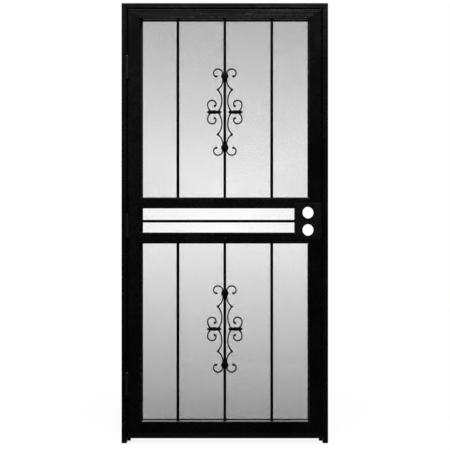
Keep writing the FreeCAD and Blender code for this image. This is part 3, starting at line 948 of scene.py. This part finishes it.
    def build(
        self, finish: bpy.types.Material, flat: PatternTree, turned: PatternTree, repeat: PatternTree,
    ) -> None:
        """Makes the strands, buds, collars and rosettes of both panels.

        Args:
            finish: The forged coat.
            flat: The tree of flat bars.
            turned: The tree of turned forms.
            repeat: The tree of repeated patterns.
        """
        strands, buds, collars, bosses = PathSketch(), PlaceSketch(), PathSketch(), PlaceSketch()
        lines, bud_places = self.quarter()
        profile = self.collar()
        level_turn = (0.0, 0.0, 0.0)
        nodes = []
        for panel in ("upper", "lower"):
            low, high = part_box(panel + "_bar_centre")
            axis = (low.x + high.x) / 2
            depth = (low.y + high.y) / 2
            low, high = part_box(panel + "_scroll_right")
            level = (low.z + high.z) / 2
            nodes += [panel + "_scroll_right", panel + "_scroll_left"]
            for side, way in itertools.product((1, -1), repeat=2):
                for line in lines:
                    points = [(axis + side * x * MM, depth, level + way * z * MM) for x, z in line]
                    strands.run(points, [1.0] * len(points))
                for x, z in bud_places:
                    place = (axis + side * x * MM, depth, level + way * z * MM)
                    buds.put(place, level_turn, (self.ball * MM,) * 3)
            for side in (1, -1):
                rings = [(axis + side * reach * MM, depth, level) for reach, _ in profile]
                collars.run(rings, [girth * MM for _, girth in profile])
            low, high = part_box(panel + "_rosettes")
            reach = (high.x - low.x) / 2
            for height in (low.z + reach, high.z - reach):
                bosses.put((axis, high.y, height), level_turn, (MM, MM, MM))
        made = flat.make("scroll_strands", {
            "Finish": finish, "Width": self.strand_width * MM, "Depth": self.strand_depth * MM,
            "Edge Radius": self.edge * MM,
        }, strands.mesh("scroll_paths"))
        settle(made, Body.LEAF, Slot.ORNAMENT, *nodes)
        values = {"Finish": finish, "Sides": self.collar_sides}
        made = turned.make("scroll_collars", values, collars.mesh("collar_paths"))
        settle(made, Body.LEAF, Slot.ORNAMENT)
        for name, pattern, places, stands_for in (
            ("scroll_buds", self.bud(), buds, ()),
            ("bar_rosettes", self.rosette(), bosses, ("upper_rosettes", "lower_rosettes")),
        ):
            piece = repeat.make(name, {"Finish": finish, "Pattern": pattern}, places.mesh(name + "_places"))
            piece.data.shade_smooth()
            bpy.data.objects.remove(pattern)
            settle(piece, Body.LEAF, Slot.ORNAMENT, *stands_for)

    def bud(self) -> bpy.types.Object:
        """Makes the pattern of a forged bud, of radius 1.

        Returns:
            The pattern's object.
        """
        form = bmesh.new()
        around, along = self.bud_segments
        bmesh.ops.create_uvsphere(form, u_segments=around, v_segments=along, radius=1.0)
        return pattern_object("bud_pattern", form)

    def rosette(self) -> bpy.types.Object:
        """Makes the pattern of a rosette that faces the street, in millimetres.

        Returns:
            The pattern's object.
        """
        form = bmesh.new()
        steps = self.petals * self.petal_steps
        rings = []
        for radius, rise, wave in self.rosette_rings:
            ring = []
            for step in range(steps):
                turn = 2 * math.pi * step / steps
                reach = radius * (1 - wave + wave * abs(math.cos(turn * self.petals / 2)))
                ring.append(form.verts.new((reach * math.sin(turn), -rise, reach * math.cos(turn))))
            rings.append(ring)
        return pattern_object("rosette_pattern", loft(form, rings))


def loft(form: bmesh.types.BMesh, rings: list[list[bmesh.types.BMVert]]) -> bmesh.types.BMesh:
    """Joins rings of points into a closed form.

    Args:
        form: The mesh that holds the points.
        rings: The rings in order, each with the same number of points.

    Returns:
        The same mesh, closed at both ends, its faces outwards.
    """
    count = len(rings[0])
    for first, second in zip(rings, rings[1:]):
        for step in range(count):
            after = (step + 1) % count
            form.faces.new((first[step], first[after], second[after], second[step]))
    form.faces.new(rings[0])
    form.faces.new(rings[-1])
    bmesh.ops.recalc_face_normals(form, faces=form.faces)
    return form


def pattern_object(name: str, form: bmesh.types.BMesh) -> bpy.types.Object:
    """Keeps a form as an object that a tree can repeat.

    Args:
        name: The object's name.
        form: The form, which is freed.

    Returns:
        The object.
    """
    mesh = bpy.data.meshes.new(name)
    form.to_mesh(mesh)
    form.free()
    return add_piece(name, mesh)


@dataclass
class BarWelds:
    """Weld beads where the bars meet the rails, the stile and the lock box, sizes in millimetres."""

    girth: float = 1.7
    ripples: int = 7
    ripple_steps: int = 4
    ripple_share: float = 0.14
    end_share: float = 0.35
    end_slope: float = 4.0
    inset: float = 1.2
    sides: int = 8

    def bead(self, start: Vector, end: Vector, sketch: PathSketch) -> None:
        """Adds one rippled bead between two points.

        Args:
            start: Its first end.
            end: Its last end.
            sketch: The polylines that it joins.
        """
        steps = self.ripples * self.ripple_steps
        points, girths = [], []
        for step in range(steps + 1):
            share = step / steps
            wave = abs(math.sin(math.pi * self.ripples * share))
            ripple = 1.0 - self.ripple_share + self.ripple_share * wave
            taper = min(1.0, self.end_slope * min(share, 1 - share) + self.end_share)
            points.append(tuple(start.lerp(end, share)))
            girths.append(self.girth * MM * ripple * taper)
        sketch.run(points, girths)

    def build(self, finish: bpy.types.Material, turned: PatternTree) -> None:
        """Makes the beads of all the bars.

        Args:
            finish: The coat over the beads.
            turned: The tree of turned forms.
        """
        sketch = PathSketch()
        inset = self.inset * MM
        panels = itertools.product(("upper", "lower"), ("left", "centre", "right"))
        for bar in [panel + "_bar_" + side for panel, side in panels] + ["middle_bar"]:
            low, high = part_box(bar)
            for x, z in itertools.product((low.x, high.x), (low.z, high.z)):
                self.bead(Vector((x, low.y + inset, z)), Vector((x, high.y - inset, z)), sketch)
        beads = turned.make("bar_welds", {"Finish": finish, "Sides": self.sides}, sketch.mesh("weld_paths"))
        settle(beads, Body.LEAF, Slot.PAINT)


def pin_axis() -> Flat:
    """Gives the place of the hinge pins' axis across the door and in depth."""
    return tuple(frame["joints"][0]["pos_m"][:2])


@dataclass
class Screws:
    """Screws that hold the screen holders and the hinge plates, sizes in millimetres."""

    head_rings: tuple[Flat, ...] = ((4.0, 0.0), (4.0, 0.7), (3.4, 1.5), (2.5, 2.0))
    head_sides: int = 16
    recess_arms: int = 4
    recess_arm: float = 1.7
    recess_core: float = 0.7
    recess_taper: float = 0.7
    recess_depth: float = 1.1
    pitch: float = 190.0
    edge: float = 6.5
    turn_step: float = 0.3
    plate_levels: tuple[float, ...] = (-41.0, -25.0, 25.0, 41.0)
    plate_places: tuple[float, ...] = (6.5, 14.5)
    plate_gap: float = 1.0
    plate_proud: float = 0.12

    def pattern(self) -> bpy.types.Object:
        """Makes the pattern of a cross-recessed head that faces +Z, in millimetres.

        Returns:
            The pattern's object.
        """
        form = bmesh.new()
        steps = range(self.head_sides)
        arm_pitch = self.head_sides // self.recess_arms
        cross = [self.recess_core if step % arm_pitch else self.recess_arm for step in steps]
        top = self.head_rings[-1][1]
        rings = [[ring] * self.head_sides for ring in self.head_rings]
        rings.append([(radius, top) for radius in cross])
        rings.append([(radius * self.recess_taper, top - self.recess_depth) for radius in cross])
        verts = []
        for ring in rings:
            verts.append([])
            for step, (radius, rise) in zip(steps, ring):
                turn = 2 * math.pi * step / self.head_sides
                verts[-1].append(form.verts.new((radius * math.cos(turn), radius * math.sin(turn), rise)))
        return pattern_object("screw_pattern", loft(form, verts))

    def holder_places(self) -> PlaceSketch:
        """Sets out the screws along the screen holders, on the inside of the leaf.

        Returns:
            The screws' places.
        """
        places = PlaceSketch()
        edge = self.edge * MM
        for panel in ("upper", "middle", "lower"):
            low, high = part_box(panel + "_screen_holders")
            for start, end in (
                ((low.x, low.z), (high.x, low.z)), ((low.x, high.z), (high.x, high.z)),
                ((low.x, low.z), (low.x, high.z)), ((high.x, low.z), (high.x, high.z)),
            ):
                length = math.dist(start, end)
                count = max(1, round(length / (self.pitch * MM)))
                for step in range(count):
                    share = (step + 0.5) / count
                    x = start[0] + (end[0] - start[0]) * share
                    z = start[1] + (end[1] - start[1]) * share
                    x = min(max(x, low.x + edge), high.x - edge)
                    z = min(max(z, low.z + edge), high.z - edge)
                    places.put((x, high.y, z), (-math.pi / 2, self.turn_step * step, 0), (MM, MM, MM))
        return places

    def plate_screws(self, half: str, way: int) -> PlaceSketch:
        """Sets out the flush screws of the hinge plates on one body.

        Args:
            half: The name of that half of a hinge.
            way: 1 where its plates look to +X, and -1 where they look to -X.

        Returns:
            The screws' places.
        """
        places = PlaceSketch()
        flat = self.plate_proud * MM
        face = pin_axis()[0] - way * self.plate_gap / 2 * MM
        for name in ("lower", "middle", "upper"):
            low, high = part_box(name + "_hinge_" + half)
            middle = (low.z + high.z) / 2
            for level, place in zip(self.plate_levels, itertools.cycle(self.plate_places)):
                spot = (face, high.y - place * MM, middle + level * MM)
                places.put(spot, (0, way * math.pi / 2, 0), (MM, MM, flat))
        return places

    def build(self, finish: bpy.types.Material, repeat: PatternTree) -> None:
        """Makes the screws of each body.

        Args:
            finish: The screws' finish.
            repeat: The tree of repeated patterns.
        """
        pattern = self.pattern()
        for name, body, places in (
            ("holder_screws", Body.LEAF, self.holder_places()),
            ("hinge_screws_leaf", Body.LEAF, self.plate_screws("leaf_half", -1)),
            ("hinge_screws_frame", Body.FRAME, self.plate_screws("frame_half", 1)),
        ):
            piece = repeat.make(name, {"Finish": finish, "Pattern": pattern}, places.mesh(name + "_places"))
            settle(piece, body, Slot.HINGE)
        bpy.data.objects.remove(pattern)


@dataclass
class HingeTips:
    """Turned tips on both ends of each hinge pin, as rise and girth in millimetres."""

    profile: tuple[Flat, ...] = (
        (-0.3, 4.6), (0.3, 5.4), (1.0, 5.5), (1.6, 4.9), (2.0, 3.9), (2.6, 4.0), (3.4, 3.7), (4.1, 2.7),
        (4.6, 1.2),
    )
    sides: int = 24

    def build(self, finish: bpy.types.Material, turned: PatternTree) -> None:
        """Makes the tips of the three hinges.

        Args:
            finish: The hinges' coat.
            turned: The tree of turned forms.
        """
        sketch = PathSketch()
        x, y = pin_axis()
        for name in ("lower", "middle", "upper"):
            low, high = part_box(name + "_hinge_frame_half")
            for end, way in ((high.z, 1), (low.z, -1)):
                points = [(x, y, end + way * rise * MM) for rise, _ in self.profile]
                sketch.run(points, [girth * MM for _, girth in self.profile])
        tips = turned.make("hinge_pin_tips", {"Finish": finish, "Sides": self.sides}, sketch.mesh("tip_paths"))
        settle(tips, Body.FRAME, Slot.HINGE)


@dataclass
class SteelWork:
    """The welded frame, the leaf and the hinges, whose nodes get their finish.

    Finishes go by slot, and paints by a word in the node's name, of which the first that fits counts.
    """

    finishes: dict[Slot, bpy.types.Material]
    paints: dict[str, bpy.types.Material]

    @staticmethod
    def slot_of(node: str) -> Slot:
        """Tells which finish a node gets.

        Args:
            node: The node's name.

        Returns:
            Its slot.
        """
        if "hinge_frame" in node or "hinge_leaf" in node:
            return Slot.HINGE
        if "sweep" in node:
            return Slot.SWEEP
        if "scroll" in node or "rosette" in node:
            return Slot.ORNAMENT
        return Slot.SCREEN if node.endswith("_screen") else Slot.PAINT

    def dress(self) -> None:
        """Gives each node its finish."""
        for name, node in frame["nodes"].items():
            slot = self.slot_of(name)
            finish = self.finishes[slot]
            if slot is Slot.PAINT:
                finish = next((paint for word, paint in self.paints.items() if word in name), finish)
            node.data.materials.clear()
            node.data.materials.append(finish)
            LOG.info("%s gets the finish %s", name, finish.name)


@dataclass
class Studio:
    """Pale floor, soft light and the camera at the photograph's place."""

    centre_x: float = 0.4798
    eye_level: float = 1.011
    front: float = -0.0254
    distance: float = 2.7
    span: float = 2.0845
    sensor: float = 36.0
    key_power: float = 280.0
    key_size: Flat = (3.0, 1.6)
    key_place: Spot = (0.479, -1.2, 4.5)
    key_aim: Spot = (0.479, 0.0, 1.2)
    floor_reach: float = 9.0
    floor_share: float = 0.14
    floor_tone: float = 0.85
    shadow_reach: Flat = (0.5, 1.6)
    room_low: float = 0.0
    room_high: float = 0.06
    room_span: Flat = (-0.3, 0.6)
    wall_glow: float = 0.06
    wall_span: Flat = (0.1, 0.32)
    behind_span: Flat = (-0.1, 0.35)

    def camera(self) -> None:
        """Puts the camera level in front of the door."""
        lens = bpy.data.cameras.new("photo_view")
        lens.sensor_width = self.sensor
        lens.lens = self.sensor * self.distance / self.span
        camera = bpy.data.objects.new("photo_view", lens)
        camera.location = (self.centre_x, self.front - self.distance, self.eye_level)
        camera.rotation_euler = (math.pi / 2, 0.0, 0.0)
        bpy.context.scene.collection.objects.link(camera)
        bpy.context.scene.camera = camera

    def lamps(self) -> None:
        """Hangs the soft lamp above the street side."""
        lamp = bpy.data.lights.new("overhead_softbox", "AREA")
        lamp.shape = "RECTANGLE"
        lamp.size, lamp.size_y = self.key_size
        lamp.energy = self.key_power
        holder = bpy.data.objects.new("overhead_softbox", lamp)
        holder.location = self.key_place
        aim = Vector(self.key_aim) - Vector(self.key_place)
        holder.rotation_euler = aim.to_track_quat("-Z", "Y").to_euler()
        bpy.context.scene.collection.objects.link(holder)

    def world(self) -> None:
        """Makes the room: white behind the door and to the camera, dim in front of it."""
        world = bpy.data.worlds.new("studio_room")
        world.use_nodes = True
        bpy.context.scene.world = world
        sketch = NodeSketch(world.node_tree)
        toward = sketch.add("ShaderNodeTexCoord").outputs["Generated"]
        parts = sketch.add("ShaderNodeSeparateXYZ", {0: toward}).outputs
        wall = sketch.ramp(sketch.math("ABSOLUTE", parts[2]), *self.wall_span, self.wall_glow, 1.0)
        behind = sketch.product(sketch.ramp(parts[1], *self.behind_span), wall)
        front = sketch.ramp(parts[2], *self.room_span, self.room_low, self.room_high)
        bright = sketch.product(behind, sketch.math("SUBTRACT", 1.0, front))
        seen = sketch.add("ShaderNodeLightPath").outputs["Is Camera Ray"]
        level = sketch.math("MAXIMUM", sketch.math("ADD", bright, front), seen)
        tint = sketch.add("ShaderNodeCombineColor", {0: level, 1: level, 2: level}).outputs[0]
        room = sketch.add("ShaderNodeBackground", {"Color": tint, "Strength": 1.0})
        sketch.add("ShaderNodeOutputWorld", {0: room.outputs[0]})

    def floor(self) -> None:
        """Lays the pale floor, white to the camera, with the door's shadow on it."""
        reach = self.floor_reach
        mesh = bpy.data.meshes.new("studio_floor")
        sides = ((-1, -1), (1, -1), (1, 1), (-1, 1))
        corners = [(self.centre_x + x * reach, y * reach, 0.0) for x, y in sides]
        mesh.from_pydata(corners, [], [(0, 1, 2, 3)])
        floor = add_piece("studio_floor", mesh)
        floor.visible_glossy = False
        material = bpy.data.materials.new("studio_floor")
        material.use_nodes = True
        sketch = NodeSketch(material.node_tree)
        tone = (self.floor_tone,) * 3 + (1.0,)
        matt = sketch.add("ShaderNodeBsdfDiffuse", {"Color": tone})
        glow = sketch.add("ShaderNodeEmission", {"Color": (1.0, 1.0, 1.0, 1.0), "Strength": 1.0})
        seen = sketch.add("ShaderNodeLightPath").outputs["Is Camera Ray"]
        place = sketch.add("ShaderNodeTexCoord").outputs["Object"]
        values = {0: place, 1: (self.centre_x, 0.0, 0.0)}
        away = sketch.add("ShaderNodeVectorMath", values, operation="DISTANCE").outputs["Value"]
        near = sketch.ramp(away, *self.shadow_reach, 1.0 - self.floor_share, 1.0)
        share = sketch.product(seen, near)
        mixed = sketch.add("ShaderNodeMixShader", {0: share, 1: matt.outputs[0], 2: glow.outputs[0]})
        sketch.add("ShaderNodeOutputMaterial", {0: mixed.outputs[0]})
        mesh.materials.append(material)

    def build(self) -> None:
        """Sets up the whole studio."""
        bpy.context.scene.view_settings.view_transform = "Standard"
        self.camera()
        self.lamps()
        self.world()
        self.floor()


def main() -> None:
    """Builds the door's finishes and fine detail, piece by piece, and the studio round it."""
    logging.basicConfig(level=logging.INFO, format="%(name)s: %(message)s")
    effects = Effects.build()
    finishes = {
        Slot.PAINT: RAIL_PAINT.material(effects),
        Slot.ORNAMENT: FORGED.material(effects),
        Slot.HINGE: HINGE.material(effects),
        Slot.SWEEP: SWEEP.material(effects),
        Slot.SCREEN: SCREEN.material(effects),
    }
    flat = strand_tree()
    turned = turned_tree()
    repeat = repeat_tree()
    uprights = STILE_PAINT.material(effects)
    bars = BAR_PAINT.material(effects)
    paints = {
        "head_stop": bars,
        "head": HEAD_PAINT.material(effects),
        "top_rail": TOP_PAINT.material(effects),
        "bottom_rail": FOOT_PAINT.material(effects),
        "lock_box": BOX_PAINT.material(effects),
        "lock_stile": LOCK_SHADED_PAINT.material(effects),
        "strike_jamb": STRIKE_PAINT.material(effects),
        "_bar": bars,
        "stile": uprights,
        "jamb": uprights,
        "hinge_stop": uprights,
        "strike_stop": uprights,
    }
    SteelWork(finishes, paints).dress()
    PanelScreens().build(finishes[Slot.SCREEN], flat)
    ScrollOrnaments().build(finishes[Slot.ORNAMENT], flat, turned, repeat)
    BarWelds().build(finishes[Slot.PAINT], turned)
    HingeTips().build(finishes[Slot.HINGE], turned)
    Screws().build(SCREW.material(effects), repeat)
    Studio().build()


if __name__ == "__main__":
    main()
